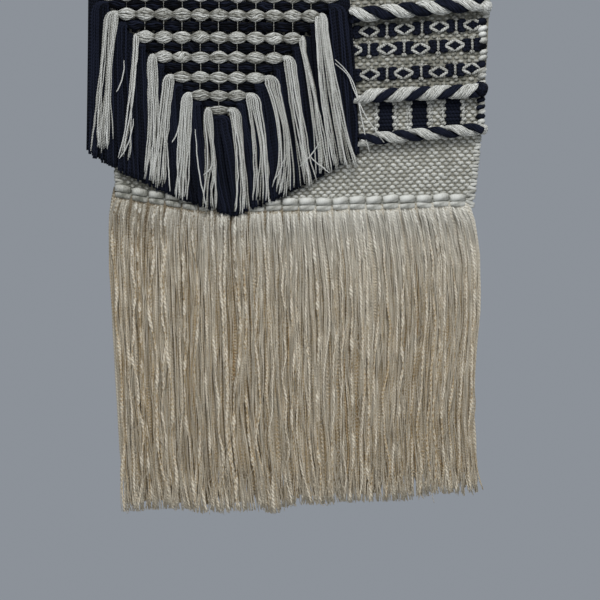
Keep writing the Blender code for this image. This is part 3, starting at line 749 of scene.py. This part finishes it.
def tassel_lines(
    side, neck, top, middle, tip, tip_z_at, layer, strands, rng, spread, parting, ragged, count=20
):
    """Strands that leave a row's neck, arch over and hang down: strands x points x 3."""
    neck_x, neck_y, row_height = neck
    across = (np.arange(strands) + 0.5) / strands
    top_x, middle_x, tip_x = (
        lerp(p[1], p[0], across) if side < 0 else lerp(p[0], p[1], across) for p in (top, middle, tip)
    )
    deck = np.where(np.arange(strands) % 2 == 0, 0.0, 1.2) + rng.uniform(-0.25, 0.25, strands)
    top_x = top_x + rng.uniform(-0.4, 0.4, strands)
    tip_x = tip_x + rng.normal(0, spread, strands)
    y = layer - 0.7 + deck
    leave = row_height + lerp(-2.2, 2.2, across)
    hang = row_height - lerp(5.0, 14.0, across) + rng.uniform(-1.0, 1.0, strands)
    start = points(neck_x - side * 1.0, neck_y - 1.5 + deck * 0.7, leave)
    lead = points(lerp(neck_x, top_x, 0.5), y - 0.6, leave + lerp(1.0, 2.4, across))
    trail = points(top_x + side * 0.4, y - 0.5, row_height + rng.uniform(0.0, 1.5, strands))
    drop = points(top_x, y, hang)
    arch = bend(start, lead, trail, drop, 7)
    t = np.linspace(0, 1, count)[None, 1:]
    tip_z = tip_z_at(tip_x) + rng.normal(0, ragged, strands)
    a, b, c = top_x[:, None], middle_x[:, None], tip_x[:, None]
    x = parabola(a, b, c, t)
    clump = np.array([-1.0, 1.0, 0.2])[np.minimum((across * 3).astype(int), 2)][:, None]
    x = x + parting * clump * np.sin(math.pi * np.clip(t * 1.1, 0, 1)) ** 2
    x = x + smooth_noise(rng, strands, count, (0.5, 1.1, 2.2), 0.95)[:, 1:] * t**0.7
    x = x + smooth_noise(rng, strands, count, (4.0, 6.5), 0.22)[:, 1:]
    z = lerp(hang[:, None], tip_z[:, None], t)
    sag = smooth_noise(rng, strands, count, (0.5, 1.3), 0.5)[:, 1:] * t
    return np.concatenate([arch, points(x, y[:, None] + sag, z)], axis=1)


def make_cream_row(row, material, rng):
    beads, z, half_height = row
    yarns = Yarns(sides=6)
    make_row_yarns(yarns, row, NECK, CREAM_DEPTH, rng, strands=10, per_bead=10, fullness=1.2)
    half = beads * BEAD_PITCH / 2
    for row_beads, strands, top, middle, tip, low, parting in CREAM_TASSELS:
        if row_beads != beads:
            continue
        side = -1 if top[0] < SHIELD_X else 1
        neck_x = SHIELD_X + side * half
        height = row_z(z, neck_x)
        neck_y = place_in_front(neck_x, height, half_height * CREAM_DEPTH)
        lines = tassel_lines(
            side, (neck_x, neck_y, height), top, middle, tip, lambda x, h=low: h + 0 * x,
            CREAM_LAYER, strands, rng, CREAM_SPREAD, parting, CREAM_RAGGED,
        )
        radius = np.full(lines.shape[:2], CREAM_STRAND) * rng.uniform(0.8, 1.15, (strands, 1))
        radius[:, -1] *= 0.7
        # painted shade: the back deck of strands is darker
        behind = (np.arange(strands) % 2)[:, None]
        yarns.add(lines, radius, 1.0, rng.uniform(0.15, 1.1, (strands, 1)) - 0.6 * behind)
    for row_beads, places in STRAYS:
        if row_beads == beads:
            flat = np.asarray(places, float)
            line = through(points(flat[:, 0], CREAM_LAYER - 1.9, flat[:, 1]), 20)
            line[:, 0] += smooth_noise(rng, 1, 20, (3.0, 5.0), 0.25)[0]
            size = 0.68 * np.sin(math.pi * np.linspace(0.05, 0.9, 20)) ** 0.4
            yarns.add(line[None], size[None], 1.0, 0.9)
    yarns.make(f"yarn_cream_row_{beads:02d}", material, "cream_yarn", [f"cream_row_{beads:02d}"])


def navy_hem_z(x):
    """The lower outline of the shield."""
    away = np.abs(x - NAVY_TIP_X)
    slope = np.where(x < NAVY_TIP_X, NAVY_HEM_LEFT[0], NAVY_HEM_RIGHT[0])
    hollow = np.where(x < NAVY_TIP_X, NAVY_HEM_LEFT[1], NAVY_HEM_RIGHT[1])
    return NAVY_TIP_Z + slope * away + hollow * away * away


def navy_tip_x(top_x):
    lean = NAVY_LEAN_LEFT if top_x < SHIELD_X else NAVY_LEAN_RIGHT
    return NAVY_TIP_X + lean * (top_x - SHIELD_X)


def navy_row_between(above, below):
    room = (above[1] - above[2]) - (below[1] + below[2])
    z = below[1] + below[2] + room / 2
    neck = min(NECK, room / 2 - ROW_GAP)
    bead = min(above[1] - z, z - below[1]) - CREAM_ROOM - ROW_GAP
    return (above[0] - 1, z, min(NAVY_BEAD, bead)), neck


def add_navy_tassel(yarns, side, neck, top, rng, strands=16, rise=13.0):
    """Strands that arch over from the row's end, with straight ones behind them that leave no gap."""
    tip = (navy_tip_x(top[0]), navy_tip_x(top[1]))
    share = 0.4 if side < 0 else 0.6
    middle = tuple(lerp(a, b, share) for a, b in zip(top, tip))
    lines = tassel_lines(
        side, neck, top, middle, tip, navy_hem_z,
        NAVY_LAYER, strands, rng, NAVY_SPREAD, 0.0, NAVY_RAGGED,
    )
    yarns.add(lines, NAVY_STRAND, 1.0, rng.uniform(-0.1, 1.0, (strands, 1)))

    behind = 9
    across = np.linspace(-0.04, 1.04, behind)[:, None]
    t = np.linspace(0, 1, 8)[None, :]
    a, b, c = (lerp(p[0], p[1], across) for p in (top, middle, tip))
    x = parabola(a, b, c, t)
    z = lerp(neck[2] + rise, navy_hem_z(c) + rng.uniform(-1, 3, (behind, 1)), t)
    yarns.add(points(x, NAVY_LAYER + 2.4, z), NAVY_BACKING, 0.9, 0.2)


def make_navy_row(row, neck, hangs, material, rng):
    beads, z, half_height = row
    yarns = Yarns(sides=5)
    make_row_yarns(yarns, row, neck, NAVY_DEPTH, rng, strands=8, per_bead=6, fullness=0.7)
    inner = beads * BEAD_PITCH / 2
    for side in (-1, 1) if hangs else ():
        neck_x = SHIELD_X + side * inner
        place = (neck_x, -CLOTH_THICKNESS / 2 - GAP - half_height * NAVY_DEPTH, row_z(z, neck_x))
        top = sorted(SHIELD_X + side * x for x in (inner + 0.2, inner + BEAD_PITCH - 0.2))
        add_navy_tassel(yarns, side, place, top, rng)
    yarns.make(f"yarn_navy_row_{beads:02d}", material, "navy_yarn", [f"navy_row_{beads:02d}"])


def make_centre_tassel(material, rng):
    yarns = Yarns(sides=5)
    top = (SHIELD_X - CENTRE_HALF_WIDTH, SHIELD_X + CENTRE_HALF_WIDTH)
    for side in (-1, 1):
        part = (top[0], SHIELD_X) if side < 0 else (SHIELD_X, top[1])
        add_navy_tassel(yarns, side, (SHIELD_X, NAVY_LAYER, CENTRE_HEAD_Z), part, rng, 13, 3.0)
    yarns.make("yarn_navy_centre", material, "navy_yarn", ["navy_centre_tassel"])


def make_warp_ties(material, rng):
    """Light warp threads that cross the navy yarn below each cream bubble."""
    yarns = Yarns(sides=5)
    rows = [TOP_NAVY_ROW, *CREAM_ROWS]
    for above, below in zip(rows[1:], rows[2:]):
        for bead in range(below[0]):
            x = SHIELD_X + (bead + 0.5 - below[0] / 2) * BEAD_PITCH
            top, bottom = row_z(above[1], x) - above[2] * 0.8, row_z(below[1], x) + below[2] * 0.8
            z = np.linspace(top, bottom, 6)
            y = -7.6 - 1.3 * np.sin(np.linspace(0, math.pi, 6)) + 0 * z
            yarns.add(points(x + rng.normal(0, 0.25), y, z)[None], 0.38, 1.0, -0.1)
    yarns.make("warp_ties", material, "cream_yarn")


# --- ropes ---


def add_lump(yarns, lump, rng):
    """The rounded end of a rope: short yarns side by side over a thick one."""
    start, end, radius = (np.array(v, float) for v in lump[:3])
    across = np.array([start[1] - end[1], end[0] - start[0]]) / np.linalg.norm(end - start)
    stitch(yarns, start, end, 1.3 * radius, 0.8 * radius, 0.2, base=1.0)
    for place in np.linspace(-1, 1, 7):
        shift = across * place * radius * 0.62
        height = radius * 2.3 * math.sqrt(1 - 0.7 * place * place)
        thick, shade, bulge = 0.4 * radius, rng.uniform(0.2, 0.9), 0.2 * radius * place
        stitch(yarns, start + shift, end + shift, height, thick, shade, bulge, flat=0.9, base=1.0)


def make_rope(name, rope, cream, navy, rng, fine=14, per_turn=22):
    (x0, z0), (x1, z1), outer, turn, hand, phase = rope
    chord = math.cos(math.pi / ROPE_STEPS)
    winding = (outer + GAP / 2) / (1 + chord)
    strand_radius = outer - winding
    length = math.dist((x0, z0), (x1, z1))
    count = round(length / turn * per_turn)
    for number, (colour, material) in enumerate((("cream", cream), ("navy", navy))):
        begin = number * NAVY_STARTS.get(name, 0.0) / length
        t = np.linspace(begin, 1 - ROPE_LUMPS[name][4] / length, count)
        x, z = lerp(x0, x1, t), lerp(z0, z1, t)
        y = place_in_front(x, z, outer)
        angle = 2 * math.pi * (hand * t * length / turn + phase + number / 2)
        radial = points(0, np.cos(angle), np.sin(angle))
        middle = points(x, y, z) + winding * radial
        along = np.gradient(middle, axis=0)
        along /= np.linalg.norm(along, axis=1, keepdims=True)
        side = np.cross(along, radial)
        yarns = Yarns(sides=5)
        turns = (2 * math.pi * (np.arange(fine) / fine))[:, None] + rng.normal(0, 0.05, (fine, 1))
        turns = turns + smooth_noise(rng, fine, count, (2, 5), 0.05)
        reach = strand_radius * 0.80
        wide = ROPE_WIDTHS[name][number]
        offset = reach * (np.cos(turns)[..., None] * radial + wide * np.sin(turns)[..., None] * side)
        shade, facing = rng.uniform(0.2, 1.15, (fine, 1)), (0.05, -1.0, 0.03)
        yarns.add(middle + offset, strand_radius * 0.23, 1.0, shade, facing=facing, stretch=4.0)
        cores = middle + np.array([-1, 0, 1])[:, None, None] * (wide - 1) * 0.7 * strand_radius * side
        yarns.add(cores, strand_radius * 0.84, 1.0, 0.5, facing=facing)
        if ROPE_LUMPS[name][3] == colour:
            add_lump(yarns, ROPE_LUMPS[name], rng)
        yarns.make(f"yarn_{name}_{colour}", material, f"{colour}_yarn", [f"{name}_{colour}"])


# --- knots and fringe ---


def fringe_x(across, t):
    left = np.interp(t, FRINGE_DOWN, FRINGE_LEFT)
    right = np.interp(t, FRINGE_DOWN, FRINGE_RIGHT)
    sway = FRINGE_SWAY * t * np.sin(2 * math.pi * (1.5 * across + 0.6 * t))
    return lerp(left, right, across) + sway


def add_fringe_strands(yarns, number, rng, kind, clumps, light):
    """The strands of one of FRINGE_KINDS below a knot, and their lines."""
    strands, count, radii, slubs, depth, waver, shades, stretch, gathers, short = kind

    def noise(waves, size):
        return smooth_noise(rng, strands, count, waves, size)

    pitch = (KNOT_RIGHT - KNOT_LEFT) / KNOTS
    t = (np.linspace(0, 1, count) ** 1.2)[None, :]
    place = np.clip((np.arange(strands) + 0.5 + rng.uniform(-0.3, 0.3, strands)) / strands, 0.02, 0.98)
    inner = 0 < number < KNOTS - 1
    root_x = (KNOT_LEFT + pitch * (number + 0.5) + (place - 0.5) * lerp(16.6, 14.0, gathers))[:, None]
    across = ((number + place) / KNOTS)[:, None]
    clump = np.searchsorted(clumps["edges"], place)
    in_clump = (place - clumps["middles"][clump])[:, None] * pitch
    tip = np.interp(across, FRINGE_ENDS, FRINGE_LOW) + clumps["short"][clump][:, None] + short
    tip = tip + rng.gamma(1.2, 1.4, (strands, 1))
    z = lerp(knot_z(root_x) - 4.6 + 9.0 * (gathers == 0), tip, t)
    free = 1 - np.exp(-t * lerp(24, clumps["parting"], gathers * inner))
    gather = gathers * clumps["gather"][clump][:, None] * ramp(t, 0.05, 1.0) ** 0.8
    hang_x = fringe_x(across, t) - gather * in_clump
    drift = gathers * np.sqrt(t) * (clumps["drift"][clump][:, np.round(t[0] * 99).astype(int)])
    waves = noise((0.6, 1.4, 2.6), 1.0) + noise((4, 7), 0.4)
    splay = rng.normal(0, 3.2, (strands, 1)) * ramp(t, 0.86, 1.0) ** 1.5
    line_x = lerp(root_x, hang_x, free) + drift + waver * waves * free * (0.4 + 0.6 * t) + splay
    belly = np.sin(math.pi * t) ** 0.7 * np.clip(2.6 - depth * 0.9, 0, 3)
    puff = 3.2 * np.exp(-(((t - 0.05) / 0.035) ** 2)) * (1 - 0.7 * (place[:, None] * 2 - 1) ** 2)
    line_y = -1.2 + depth - belly - puff + noise((1.2, 2.7, 5.0), 0.5 * waver)
    line_y = lerp(lerp(2.4, KNOT_Y, gathers), line_y, ramp(t, 0.0, 0.03) ** 0.7)
    slub = 1 + np.clip(noise((6, 11, 17), slubs), -0.4, 0.8)
    radius = rng.uniform(*radii, (strands, 1)) * slub * np.where(t > 0.999, 0.85, 1.0)
    patchy = noise((2, 5), 0.25)
    # painted shade: strands darker towards the edges of their wisp, in the crevices between wisps
    crevice = np.abs(in_clump / clumps["widths"][clump][:, None] * 2 / pitch) ** 3
    # edge: how much painted shade falls in the crevices at an inner bunch's sides
    edge = inner * clumps["dark"] * np.abs(place[:, None] * 2 - 1) ** 3
    shade = rng.uniform(*shades, (strands, 1)) + patchy + 0.8 * (slub - 1) - gathers * 0.5 * crevice
    shade = shade + clumps["tone"][clump][:, None] * np.sin(math.pi * np.clip(t * 1.3, 0, 1)) ** 0.5
    # painted light and shade: tops lighter to the right and darker to the left by light, and darker at
    # inner bunches' edges
    shade = shade + (1.9 * light - 0.55) * np.exp(-t * 6.5) - 0.5 * edge * np.exp(-t * 6)
    # lighter tips, partly paler ends and partly painted light; painted light on the plain strands of
    # the two outer bunches, which stand out at the sides
    shade = shade + 0.55 * gathers * ramp(t, 0.9, 1.0) + 0.45 * (1 - inner) * (1 - gathers)
    # painted shade: the plain strands behind are dark near the top, behind the knots, and in the
    # crevices between bunches
    shade = shade - (1 - gathers) * (1.4 * np.exp(-t * 22) + 0.7 * edge * np.exp(-t * 7))
    lines, length = points(line_x, line_y, z), stretch * rng.uniform(0.75, 1.3, strands)
    yarns.add(lines, radius, 1.0, shade, 0.8 * np.exp(-t * 6.5), stretch=length)
    return lines


def add_bunch(yarns, number, rng, light):
    """The strands below one knot: slubby ones in front, thinner ones between, plain ones behind."""
    edges = np.array([rng.uniform(0.25, 0.42), rng.uniform(0.58, 0.75)])
    bounds = np.concatenate([[0.0], edges, [1.0]])
    clumps = {
        "edges": edges,
        "middles": (bounds[1:] + bounds[:-1]) / 2,
        "widths": np.diff(bounds),
        "short": rng.uniform(-1.5, 3.0, 3),
        "gather": rng.uniform(0.15, 0.7, 3),
        "drift": smooth_noise(rng, 3, 100, (0.5, 1.1, 1.9), 2.6),
        "parting": rng.uniform(7, 20),
        # how dark the painted shade in the crevices at this bunch's sides is
        "dark": rng.uniform(0.2, 1.0),
        "tone": rng.uniform(-0.22, 0.28, 3),
    }
    lines = [add_fringe_strands(yarns, number, rng, kind, clumps, light) for kind in FRINGE_KINDS]
    for start in lines[0][:, -3:]:  # two hairs at each slubby strand's tip
        for _ in range(2):
            reach = rng.normal(0, 2.4)
            end = start[-1] + (reach, rng.uniform(-1.5, 1.5), -rng.uniform(0.5, 2.5))
            middle = (start[1] + end) / 2 + (rng.normal(0, 1.2), 0, 0)
            yarns.add(through([start[0], start[1], middle, end], 8)[None], 0.34, 1.0, 0.9)
    for _ in range(5 if 0 < number < KNOTS - 1 else 0):  # curly fibres in front
        x = KNOT_LEFT + (KNOT_RIGHT - KNOT_LEFT) * (number + rng.uniform(0, 1)) / KNOTS
        z = -570.0 + 230.0 * rng.uniform(0, 1) ** 2
        steps = rng.normal(0, 1, (5, 1)) * (3.0, 0.5, 0.0) + (0.0, 0.0, -rng.uniform(4, 8))
        yarns.add(through(np.cumsum(steps, axis=0) + (x, -9.5, z), 14)[None], 0.32, 1.0, 1.2)


def make_fringe(material, rng):
    pitch = (KNOT_RIGHT - KNOT_LEFT) / KNOTS
    for number in range(KNOTS):
        yarns = Yarns(sides=5)
        x = KNOT_LEFT + pitch * (number + 0.5)
        # Painted light and shade: the knots and the tops of their strands are darker to the left, in
        # the shield's shadow, and lighter to the right, towards the key light
        light = min(0.85, -0.1 + 0.08 * number)
        for level, (past, forward, up) in KNOT_TURNS:
            level, tilt = level + rng.uniform(-0.7, 0.7), rng.uniform(-0.12, 0.12)
            half, shades = (pitch / 2 + past, forward, up), (light - 0.15, light + 0.1)
            add_turn(
                yarns, x, lambda at, up=level: knot_z(at) + up, half, KNOT_Y, rng, tilt, shades, ink=1.0
            )
        add_bunch(yarns, number, rng, light)
        name = f"{number + 1:02d}"
        yarns.make(f"yarn_bunch_{name}", material, "fringe_yarn", [f"fringe_bunch_{name}"])


# --- studio ---


def aim_at(obj, place, aim):
    obj.location = place
    direction = Vector(aim) - Vector(place)
    obj.rotation_euler = direction.to_track_quat("-Z", "Y").to_euler()


def make_studio():
    scene = bpy.context.scene
    scene.view_settings.view_transform = "Standard"
    bpy.ops.object.select_all(action="DESELECT")
    bpy.ops.mesh.primitive_circle_add(
        vertices=96, radius=FLOOR_RADIUS, fill_type="NGON", location=(0, 0, FLOOR_Z)
    )
    floor = bpy.context.object
    floor.name = "studio_floor"
    pale = bpy.data.materials.new("pale_floor")
    pale.use_nodes = True
    shader = pale.node_tree.nodes["Principled BSDF"]
    shader.inputs["Base Color"].default_value = FLOOR_COLOUR
    shader.inputs["Roughness"].default_value = 0.8
    floor.data.materials.append(pale)

    world = bpy.data.worlds.new("studio_air")
    scene.world = world
    world.use_nodes = True
    background = world.node_tree.nodes["Background"]
    background.inputs["Color"].default_value = AIR_COLOUR
    background.inputs["Strength"].default_value = 1.0

    for name, place, size, power in LIGHTS:
        light = bpy.data.lights.new(name, "AREA")
        light.shape, light.size, light.energy = "DISK", size, power
        obj = bpy.data.objects.new(name, light)
        scene.collection.objects.link(obj)
        aim_at(obj, place, LIGHT_AIM)

    camera = bpy.data.objects.new("camera", bpy.data.cameras.new("camera"))
    scene.collection.objects.link(camera)
    camera.data.sensor_width = 36.0
    camera.data.lens = CAMERA_LENS
    aim_at(camera, (CAMERA_X, CAMERA_Y, CAMERA_Z), (CAMERA_X, 0.0, CAMERA_Z))
    scene.camera = camera


def main():
    make_studio()
    cream = plied_cotton("cream_yarn", CREAM, 2.8, relief=0.45, contrast=0.85, streaks=1.6, beads=0.8)
    navy = plied_cotton("navy_yarn", NAVY, 3.6, relief=0.4, contrast=0.8, beads=0.8)
    weave = plied_cotton("cream_weave", WEAVE, 3.4, relief=0.15, contrast=0.4, other=NAVY)
    warp = plied_cotton("warp_cotton", WARP, 3.0, relief=0.1, contrast=0.6)
    fringe = plied_cotton(
        "fringe_yarn", FRINGE, 4.0, relief=0.8, contrast=0.6, other=WEAVE, streaks=1.7, beads=0.9
    )

    core = make_cloth_core(warp)
    half = WEFT_ROWS // 2
    upper = make_wefts("weft_upper", range(half), weave, np.random.default_rng(1))
    lower = make_wefts("weft_lower", range(half, WEFT_ROWS), weave, np.random.default_rng(2))
    edges = make_selvedges(weave, np.random.default_rng(3))
    make_diamonds(cream, navy, np.random.default_rng(4))
    make_bars(cream, navy, np.random.default_rng(5))
    make_edge_turns(cream, navy, np.random.default_rng(6))
    rng = np.random.default_rng(7)
    for row in CREAM_ROWS:
        make_cream_row(row, cream, rng)
    rng = np.random.default_rng(8)
    make_navy_row(TOP_NAVY_ROW, NECK, False, navy, rng)
    for above, below in zip(CREAM_ROWS, CREAM_ROWS[1:]):
        row, neck = navy_row_between(above, below)
        make_navy_row(row, neck, True, navy, rng)
    make_centre_tassel(navy, rng)
    make_warp_ties(cream, rng)
    rng = np.random.default_rng(9)
    for name, rope in ROPES.items():
        make_rope(name, rope, cream, navy, rng)
    make_fringe(fringe, np.random.default_rng(10))


main()
